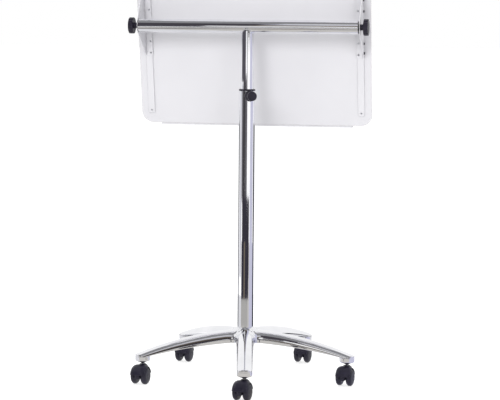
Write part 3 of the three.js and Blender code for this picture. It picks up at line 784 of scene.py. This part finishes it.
def make_board():
    low, high = board_box("board_front")
    half, bottom, top = high.x, low.z, high.z
    back, front = -high.y, -low.y
    corner, inset = 35 * MM, 1.2 * MM
    outline = rectangle(-half, half, bottom, top, corner, steps=14)
    inner = rectangle(inset - half, half - inset, bottom + inset, top - inset, corner - inset, steps=14)
    panel, sheet = board_slab(outline, back + GAP, front), board_slab(inner, back, back + 1 * MM)
    soften(place("writing_panel", panel, "board", ENAMEL, "board_front", "board_core"), 1.1 * MM, 4)
    soften(place("board_back_sheet", sheet, "board", PAINT, "board_back"), 0.25 * MM, 2)


def make_rail(side):
    low, high = board_box(f"rail_{side}")
    outline = rectangle(low.x, high.x, low.z, high.z, 4 * MM)
    strip = board_slab(outline, -high.y, -low.y)
    soften(place(f"stiffening_rail_{side}", strip, "board", RAIL_PAINT, f"rail_{side}"), 0.9 * MM)
    heights = (low.z + 9 * MM, 230 * MM, 430 * MM, high.z - 9 * MM)
    make_screws(f"rail_screws_{side}", (low.x + high.x) / 2, high.y, heights, 2.6 * MM, 1.5 * MM)


def make_bracket(side, sign):
    """A bent plate: triangular cheek outside the bar's end, screwed foot on the rail."""
    low, high = board_box(f"bracket_{side}")
    thickness = 1.9 * MM
    outer = max(abs(low.x), abs(high.x))
    inner = min(abs(low.x), abs(high.x))
    tip, foot, reach = high.y, low.y, high.z
    apex = 19 * MM
    outline = rounded([
        (tip, apex - 4 * MM, 4 * MM), (tip, -apex + 4 * MM, 4 * MM), (tip - 5 * MM, -apex, 4 * MM),
        (foot + 3 * MM, -reach, 3 * MM), (foot, -reach, 1 * MM), (foot, reach, 1 * MM),
        (foot + 3 * MM, reach, 3 * MM), (tip - 5 * MM, apex, 4 * MM)])
    bore, sides = 5.6 * MM, 24
    hole = [(bore * math.cos(TAU * i / sides), bore * math.sin(TAU * i / sides)) for i in range(sides)]
    cheek = section_slab(outline, outer - thickness, outer, sign, [hole])
    rear = foot + thickness
    fold = outer - thickness - 2.6 * MM
    plates = []
    for edge, height in ((outer - thickness / 2, foot + 0.6 * MM), (fold, rear)):
        plate = rounded([(inner, -reach, 3 * MM), (edge, -reach, 1 * MM), (edge, reach, 1 * MM),
                         (inner, reach, 3 * MM)])
        plates.append(board_slab([(sign * x, y) for x, y in plate], -height, -foot))
    piece = place(f"tilt_bracket_{side}", joined(cheek, *plates), "board", PAINT, f"bracket_{side}")
    soften(piece, 0.5 * MM)
    heights = (-99 * MM, -64 * MM, 33 * MM, 99 * MM)
    make_screws(f"bracket_screws_{side}", sign * (inner + 5.5 * MM), rear, heights, 2.9 * MM, 1.7 * MM)

    caps = []
    for up in (-93 * MM, -64 * MM, 33 * MM, 67 * MM):
        cap = pan_head(4 * MM, 3 * MM)
        cap.transform(BOARD_SPACE @ along((sign, 0, 0), (sign * outer, foot + 5.5 * MM, up)))
        caps.append(cap)
    place(f"bracket_side_caps_{side}", joined(*caps), "board", BLACK)


def make_pen_tray():
    low, high = board_box("pen_tray")
    half = high.x
    floor, lip_top, plate_top = low.z, low.z + 13 * MM, high.z
    end, face, under = low.y, low.y + 58 * MM, high.y
    wall = 1.8 * MM
    rear_top = board_box("board_front")[0].z - GAP
    profile = rounded([
        (under, floor, 0.8 * MM), (end + 1 * MM, floor, 4 * MM), (end, lip_top, 0.8 * MM),
        (end + wall, lip_top, 0.8 * MM), (end + wall + 0.6 * MM, floor + wall, 2.6 * MM),
        (face - wall, floor + wall, 2 * MM), (face - wall, plate_top, 0.8 * MM), (face, plate_top, 0.8 * MM),
        (face, rear_top, 0.8 * MM), (under, rear_top, 0.8 * MM)])
    channel = section_slab(profile, wall - half, half - wall)
    cap = rounded([
        (under, floor, 0.8 * MM), (end + 1 * MM, floor, 4 * MM), (end - 0.2 * MM, lip_top, 3 * MM),
        (face, lip_top, 0.8 * MM), (face, rear_top, 0.8 * MM), (under, rear_top, 0.8 * MM)])
    caps = [section_slab(cap, start, start + wall) for start in (-half, half - wall)]
    tray = place("pen_tray_channel", joined(channel, *caps), "board", PAINT, "pen_tray")
    soften(tray, 0.3 * MM, 2, 40)


def make_pad_clamp():
    """The drawn rail with an ear at each end, and the spring jaw on its hinge barrel."""
    hinge = BOARD_SPACE_BACK @ pivot("pad_jaw_hinge")
    low, high = board_box("clamp_rail")
    half = high.x
    back, plate = high.y, high.y - 4 * MM
    ridge = plate - 7 * MM
    profile = rounded([
        (back, low.z, 0.6 * MM), (back, high.z - 0.3 * MM, 0.6 * MM), (ridge, high.z - 0.3 * MM, 1.4 * MM),
        (ridge, high.z - 5 * MM, 0.5 * MM), (plate, high.z - 5 * MM), (plate, high.z - 15 * MM),
        (ridge, high.z - 15 * MM, 0.5 * MM), (ridge, high.z - 19 * MM, 1 * MM),
        (plate, high.z - 19 * MM, 0.6 * MM), (plate, low.z, 0.6 * MM)])
    rail = section_slab(profile, -half, half)
    ears, ear_width = [], 4 * MM
    for start in (-half, half - ear_width):
        ear = rounded([
            (plate + 1 * MM, hinge.z - 4.5 * MM), (plate + 1 * MM, high.z - 17 * MM),
            (low.y, high.z - 17 * MM, 2 * MM), (low.y, hinge.z - 4.5 * MM, 3 * MM)])
        ears.append(section_slab(ear, start, start + ear_width))
    piece = place("pad_clamp_rail", joined(rail, *ears), "board", ALUMINIUM, "clamp_rail")
    soften(piece, 0.3 * MM, 2, 40)

    jaw_low, jaw_high = board_box("clamp_jaw")
    lip, reach = jaw_low.z, jaw_high.x
    jaw = rounded([
        (plate - GAP, lip + 5 * MM, 0.4 * MM), (plate - GAP, lip + 2 * MM, 0.4 * MM),
        (plate - 4 * MM, lip, 2 * MM), (plate - 7 * MM, lip + 5 * MM, 2.5 * MM),
        (plate - 7 * MM, hinge.z, 0.8 * MM), (plate - 4.6 * MM, hinge.z, 0.8 * MM),
        (plate - 4.6 * MM, lip + 6 * MM, 1.5 * MM)])
    blade = section_slab(jaw, -reach, reach)
    barrel = lathe(tube_profile(1.8 * MM, 3.6 * MM, -reach, reach), 48, closed=True)
    barrel.transform(BOARD_SPACE @ along((1, 0, 0), hinge))
    piece = place("pad_clamp_jaw", joined(blade, barrel), "pad_jaw", ALUMINIUM, "clamp_jaw")
    soften(piece, 0.3 * MM, 2, 50)


def make_peg(side):
    """A slider in the clamp rail's groove, with a knobbed pin for the pad's punched hole."""
    low, high = board_box(f"pad_peg_{side}")
    across, up = (low.x + high.x) / 2, (low.z + high.z) / 2
    block = rectangle(low.x, high.x, low.z, high.z, 1.5 * MM)
    slider = board_slab(block, -high.y, -high.y + 6 * MM)
    start, end = -high.y + 2 * MM, -low.y
    profile = rounded([
        (0, start), (5 * MM, start), (5 * MM, start + 6 * MM, 1 * MM), (3.5 * MM, start + 7 * MM, 1 * MM),
        (3.3 * MM, end - 6 * MM, 1 * MM), (4.8 * MM, end - 3.5 * MM, 1 * MM),
        (3.8 * MM, end - 0.4 * MM, 2 * MM), (0, end)], closed=False)
    pin = lathe(profile, 40)
    pin.transform(BOARD_SPACE @ along((0, -1, 0), (across, 0, up)))
    piece = place(f"pad_peg_{side}_body", joined(slider, pin), f"peg_{side}", BLACK, f"pad_peg_{side}")
    soften(piece, 0.35 * MM, 2, 50)


# ---- castors

AXLE_HEIGHT = pivot("castor_1_spin_a").z
HOOD_LOW = 30.5 * MM  # height of the hood's lower edge above the floor
HOOD_WALL = 2.2 * MM


def castor_space(number):
    """The castor's own frame at the axle's middle: +X to one side of the stem, +Y up, +Z along the axle."""
    axle = joint(f"castor_{number}_spin_a")
    across = Vector(axle["axis"]).normalized()
    turn = Matrix((UP.cross(across), UP, across)).transposed()
    return Matrix.Translation(axle["pos_m"]) @ turn.to_4x4()


def hood_profile():
    """Outer radius against distance across the hood: nearly flat in the middle, rounded at the sides."""
    points = mm((3, 32.4), (11, 32.4, 14), (17.2, 30.8, 10), (21, 28.5, 8), (22.6, 26.4))
    half = rounded(points, closed=False, steps=5)
    return [(radius, -a) for a, radius in half[::-1]] + [(radius, a) for a, radius in half]


def hood_mesh():
    """The fender that bridges both wheels, cut level along its lower edge."""
    rows, around = hood_profile(), 40
    vertices, faces = [], []
    drop = HOOD_LOW - AXLE_HEIGHT
    for radius, across in rows:
        first = math.asin(drop / radius)
        for i in range(around + 1):
            angle = first + (math.pi - 2 * first) * i / around
            vertices.append((radius * math.cos(angle), radius * math.sin(angle), across))
    width = around + 1
    for i in range(len(rows) - 1):
        for j in range(around):
            a = i * width + j
            faces.append([a, a + 1, a + width + 1, a + width])
    return mesh_of(vertices, faces)


def wheel_profile(sign):
    """Half of the twin wheel: a rounded tread and a lens-shaped outer face round a small hub cap."""
    near, far, rim = 8, 25.6, 24.97
    points = mm(
        (4, near), (16, near, 1), (rim - 4, near + 0.2, 2.5), (rim, near + 4.5, 5), (rim, near + 10.5, 5),
        (rim - 3, far - 3.1, 5), (rim - 8.5, far - 1, 6), (7.4, far - 0.1, 0.3), (7.1, far - 0.6, 0.2),
        (6.5, far - 0.6, 0.2), (6.2, far - 0.1, 0.3), (0, far))
    return [(radius, sign * across) for radius, across in rounded(points, closed=False, steps=5)]


def make_castor(number):
    body = f"castor_{number}"
    space = castor_space(number)
    swivel = pivot(f"castor_{number}_swivel")
    upright = Matrix.Translation((swivel.x, swivel.y, 0))

    hood = hood_mesh()
    hood.transform(space)
    fender = place(f"{body}_fender", hood, body, CASTOR_BLACK, f"{body}_hood")
    wall = fender.modifiers.new("wall", "SOLIDIFY")
    wall.thickness = HOOD_WALL
    wall.offset = -1
    wall.use_rim = True
    round_edges(fender, 0.7 * MM, 3, 50)

    web = web_mesh()
    web.transform(space)
    place(f"{body}_neck", joined(neck_mesh(space, upright), web), body, CASTOR_BLACK)
    make_stem(body, upright)
    for letter, sign in (("a", 1), ("b", -1)):
        wheel = lathe(wheel_profile(sign), 96)
        if sign < 0:
            wheel.flip_normals()
        wheel.transform(space)
        node = f"{body}_wheel_{letter}"
        place(f"{body}_tyre_{letter}", wheel, node, WHEEL_BLACK, node)


def make_stem(body, upright):
    """The steel pintle that turns in the base, and the plastic collar round its foot."""
    foot, shoulder, radius = 53.5, 65.6, 4
    stem = rounded(mm((0, foot), (radius, foot), (radius, shoulder), (5.5, shoulder), (5.5, 86, 1), (0, 87)),
                   closed=False)
    pintle = lathe(stem, 48)
    pintle.transform(upright)
    place(f"{body}_pintle", pintle, body, ZINC, f"{body}_stem")

    bore, low, high = radius + 0.1, 60.4, 65.5
    sleeve = rounded(mm((bore, low, 0.3), (5, low, 0.4), (9.6, 63.6, 0.8), (10.8, high, 0.5), (bore, high)))
    collar = lathe(sleeve, 64, closed=True)
    collar.transform(upright)
    place(f"{body}_collar", collar, body, CASTOR_BLACK)


def neck_mesh(space, upright, clear=27.5 * MM):
    """The dome under the stem. Its underside follows a cylinder that clears the wheels."""
    dome = rounded(mm((0, 42), (17, 42), (16.6, 48, 5), (13.4, 54.6, 6), (8.4, 58.3, 3), (0, 58.5)),
                   closed=False, steps=6)
    mesh = lathe(dome, 64)
    mesh.transform(space.inverted() @ upright)
    for vertex in mesh.vertices:
        x, y, across = vertex.co
        far = math.hypot(x, y)
        if far < clear:
            vertex.co = (x * clear / far, y * clear / far, across)
    mesh.transform(space)
    return mesh


def web_mesh():
    """The plate between the wheels that carries the axle."""
    outer, half, low, steps = 30 * MM, 6.2 * MM, -6 * MM, 24
    start = math.asin(low / outer)
    angles = [start + (math.pi - 2 * start) * i / steps for i in range(steps + 1)]
    return slab([(outer * math.cos(a), outer * math.sin(a)) for a in angles], -half, half)


# ---- CAD pieces that stay

def finish_kept_nodes():
    """Inner pieces keep their CAD shape and take a procedural finish."""
    steel = ["base_bolt", "base_washer", "column_plug", "height_screw", "clamp_pin"]
    steel += [f"{kind}_{side}" for kind in ("bar_insert", "tilt_stud") for side in ("left", "right")]
    steel += [f"castor_{k}_axle" for k in range(1, ARMS + 1)]
    for name in steel + ["mast_bush"]:
        materials = frame["nodes"][name].data.materials
        materials.clear()
        materials.append((BLACK if name == "mast_bush" else ZINC)[1])


# ---- camera, floor and studio

CAMERA_AT = Vector((-1.0235, 5.1641, 1.0739))
CAMERA_YAW = math.radians(11.09)  # turned from -Y towards +X
CAMERA_PITCH = math.radians(5.85)  # looking down
CAMERA_ROLL = math.radians(0.46)
CAMERA_LENS = 128.17


def make_camera():
    data = bpy.data.cameras.new("camera")
    data.sensor_width = 36.0
    data.lens = CAMERA_LENS
    data.clip_start = 0.05
    data.clip_end = 200.0
    data.dof.use_dof = False
    camera = bpy.data.objects.new("camera", data)
    bpy.context.scene.collection.objects.link(camera)
    forward = Vector((math.sin(CAMERA_YAW) * math.cos(CAMERA_PITCH),
                      -math.cos(CAMERA_YAW) * math.cos(CAMERA_PITCH), -math.sin(CAMERA_PITCH)))
    level = forward.cross(UP).normalized()
    lift = level.cross(forward)
    right = level * math.cos(CAMERA_ROLL) + lift * math.sin(CAMERA_ROLL)
    up = lift * math.cos(CAMERA_ROLL) - level * math.sin(CAMERA_ROLL)
    turn = Matrix((right, up, -forward)).transposed().to_4x4()
    camera.matrix_world = Matrix.Translation(CAMERA_AT) @ turn
    bpy.context.scene.camera = camera


def make_floor():
    """A wide pale floor that glows a little, so that it melts into the white background."""
    look = Look("studio_floor", Roughness=0.9, Specular_IOR_Level=0.1, Emission_Color=(1, 1, 1, 1),
                Emission_Strength=0.68)
    tone = look.noise(3, detail=2)
    colour = look.colours(tone, (0.3, (0.44, 0.44, 0.44)), (0.7, (0.47, 0.47, 0.47)))
    look.finish(colour)
    radius = 60
    mesh = lathe([(0, 0), (radius, 0)], 128)
    mesh.flip_normals()
    mesh.materials.append(look.material)
    floor = bpy.data.objects.new("studio_floor", mesh)
    bpy.context.scene.collection.objects.link(floor)


def make_world():
    world = bpy.data.worlds.new("studio")
    world.use_nodes = True
    backdrop = world.node_tree.nodes["Background"]
    backdrop.inputs["Color"].default_value = (1, 1, 1, 1)
    backdrop.inputs["Strength"].default_value = 1.0
    bpy.context.scene.world = world


def studio_card(name, vertices, faces, rgb):
    """A glowing card that only mirror-like surfaces see."""
    look = bpy.data.materials.new(name)
    look.use_nodes = True
    tree = look.node_tree
    tree.nodes.clear()
    glow = tree.nodes.new("ShaderNodeEmission")
    glow.inputs["Color"].default_value = (*rgb, 1)
    out = tree.nodes.new("ShaderNodeOutputMaterial")
    tree.links.new(glow.outputs["Emission"], out.inputs["Surface"])
    mesh = mesh_of(vertices, faces)
    mesh.materials.append(look)
    card = bpy.data.objects.new(name, mesh)
    bpy.context.scene.collection.objects.link(card)
    for ray in ("camera", "diffuse", "shadow", "transmission"):
        setattr(card, f"visible_{ray}", False)


def curved_card(name, start, end, near, far, rgb):
    """A card that curves round the easel. Angles are degrees from the camera's direction, positive to its
    right; near and far are (distance, height) of its two long edges."""
    towards = math.degrees(math.atan2(CAMERA_AT.y, CAMERA_AT.x))
    vertices, faces = [], []
    steps = max(2, int((end - start) / 3))
    for i in range(steps + 1):
        angle = math.radians(towards + start + (end - start) * i / steps)
        vertices += [(r * math.cos(angle), r * math.sin(angle), z) for r, z in (near, far)]
    for i in range(steps):
        a = 2 * i
        faces.append([a, a + 1, a + 3, a + 2])
    studio_card(name, vertices, faces, rgb)


def studio_wall(name, start, end, low, high, rgb, distance=2.1):
    """An upright card between two heights."""
    curved_card(name, start, end, (distance, low), (distance, high), rgb)


def area_light(name, at, target, size, power):
    """A round soft light that mirror-like surfaces don't see."""
    data = bpy.data.lights.new(name, "AREA")
    data.shape = "DISK"
    data.size = size
    data.energy = power
    light = bpy.data.objects.new(name, data)
    light.location = at
    light.rotation_mode = "QUATERNION"
    light.rotation_quaternion = (Vector(target) - Vector(at)).to_track_quat("-Z", "Y")
    light.visible_camera = False
    light.visible_glossy = False
    bpy.context.scene.collection.objects.link(light)


def make_studio():
    make_world()
    make_floor()
    dark, dim, brown = (0.04, 0.038, 0.05), (0.05, 0.05, 0.065), (0.17, 0.145, 0.115)
    khaki, pale, lavender = (0.46, 0.45, 0.43), (0.55, 0.55, 0.6), (0.62, 0.62, 0.76)
    curved_card("front_floor", -62, 48, (0.03, 0.003), (3.2, 0.003), (0.62, 0.6, 0.57))
    curved_card("right_floor", 48, 112, (0.03, 0.003), (3.2, 0.003), lavender)
    curved_card("rear_floor", 112, 298, (0.03, 0.003), (1.6, 0.003), (0.78, 0.78, 0.8))
    studio_wall("front_khaki_near", -66, 28, 0.0, 0.1, khaki, distance=0.9)
    near = ((-66, -30, dark), (-30, -12, brown), (-12, 36, dark))
    for number, (start, end, rgb) in enumerate(near):
        studio_wall(f"front_dark_near_{number}", start, end, 0.1, 0.3, rgb, distance=0.9)
    studio_wall("front_dark_low", -60, 40, 0.0, 0.33, dark)
    middle = ((-72, -50, 1.3, 0.12), (-50, -33, 1.3, 0.045), (-33, -27, 1.3, 0.085),
              (-27, -18, 0.77, 0.085), (-18, 5, 0.77, 0.15))
    for number, (start, end, top, tone) in enumerate(middle):
        rgb = (tone, tone * 0.96, tone * 1.05)
        studio_wall(f"front_dark_middle_{number}", start, end, 0.12, top, rgb, distance=4.0)
    walls = (
        ("front_dark_upper_left", -108, -27, 0.81, 1.3, (0.09, 0.085, 0.1)),
        ("front_line", -4, 5, 0.8, 1.3, (0.2, 0.2, 0.21)),
        ("left_dark_above", -62, -22, 1.3, 3.2, (0.065, 0.06, 0.07)),
        ("front_brown_above", -22, 45, 1.3, 1.9, brown),
        ("front_pale_above", -22, 45, 1.9, 2.9, pale),
        ("side_grey_left", -108, -72, 0.0, 0.8, (0.66, 0.66, 0.7)),
        ("side_lavender_right", 50, 96, 0.0, 3.4, lavender),
        ("far_dark_right", 5, 48, 0.95, 4.6, (0.06, 0.053, 0.05), 7.5),
    )
    for wall in walls:
        studio_wall(*wall)
    for side, start, end in (("right", 108, 150), ("left", -152, -120)):
        curved_card(f"side_dark_floor_{side}", start, end, (0.85, 0.006), (8.0, 0.006), dim)
        studio_wall(f"side_dark_{side}", start, end, 0.0, 0.4, dim, distance=8.0)
    curved_card("ceiling", -130, 130, (2.1, 3.2), (0.2, 3.25), (0.27, 0.27, 0.28))
    area_light("key", (0.7, 3.72, 2.3), (0, 0, 1.0), 1.5, 65)
    area_light("fill", (-2.2, 3.05, 2.3), (0, 0, 1.0), 1.0, 13)
    area_light("top", (0.0, 0.3, 4.2), (0, 0, 0), 2.6, 25)
    area_light("front", (1.0, -4.0, 2.6), (0, 0, 1.1), 1.8, 110)


# ---- everything

def make_easel():
    make_base()
    make_column()
    make_mast()
    make_height_clamp()
    make_board()
    make_pen_tray()
    make_pad_clamp()
    for side, sign in (("left", 1), ("right", -1)):
        make_tilt_knob(side, sign)
        make_washer(side, sign)
        make_rail(side)
        make_bracket(side, sign)
        make_peg(side)
    for number in range(1, ARMS + 1):
        make_castor(number)
    finish_kept_nodes()


make_camera()
make_studio()
make_easel()
bpy.context.scene.view_settings.view_transform = "Standard"
bpy.context.view_layer.update()
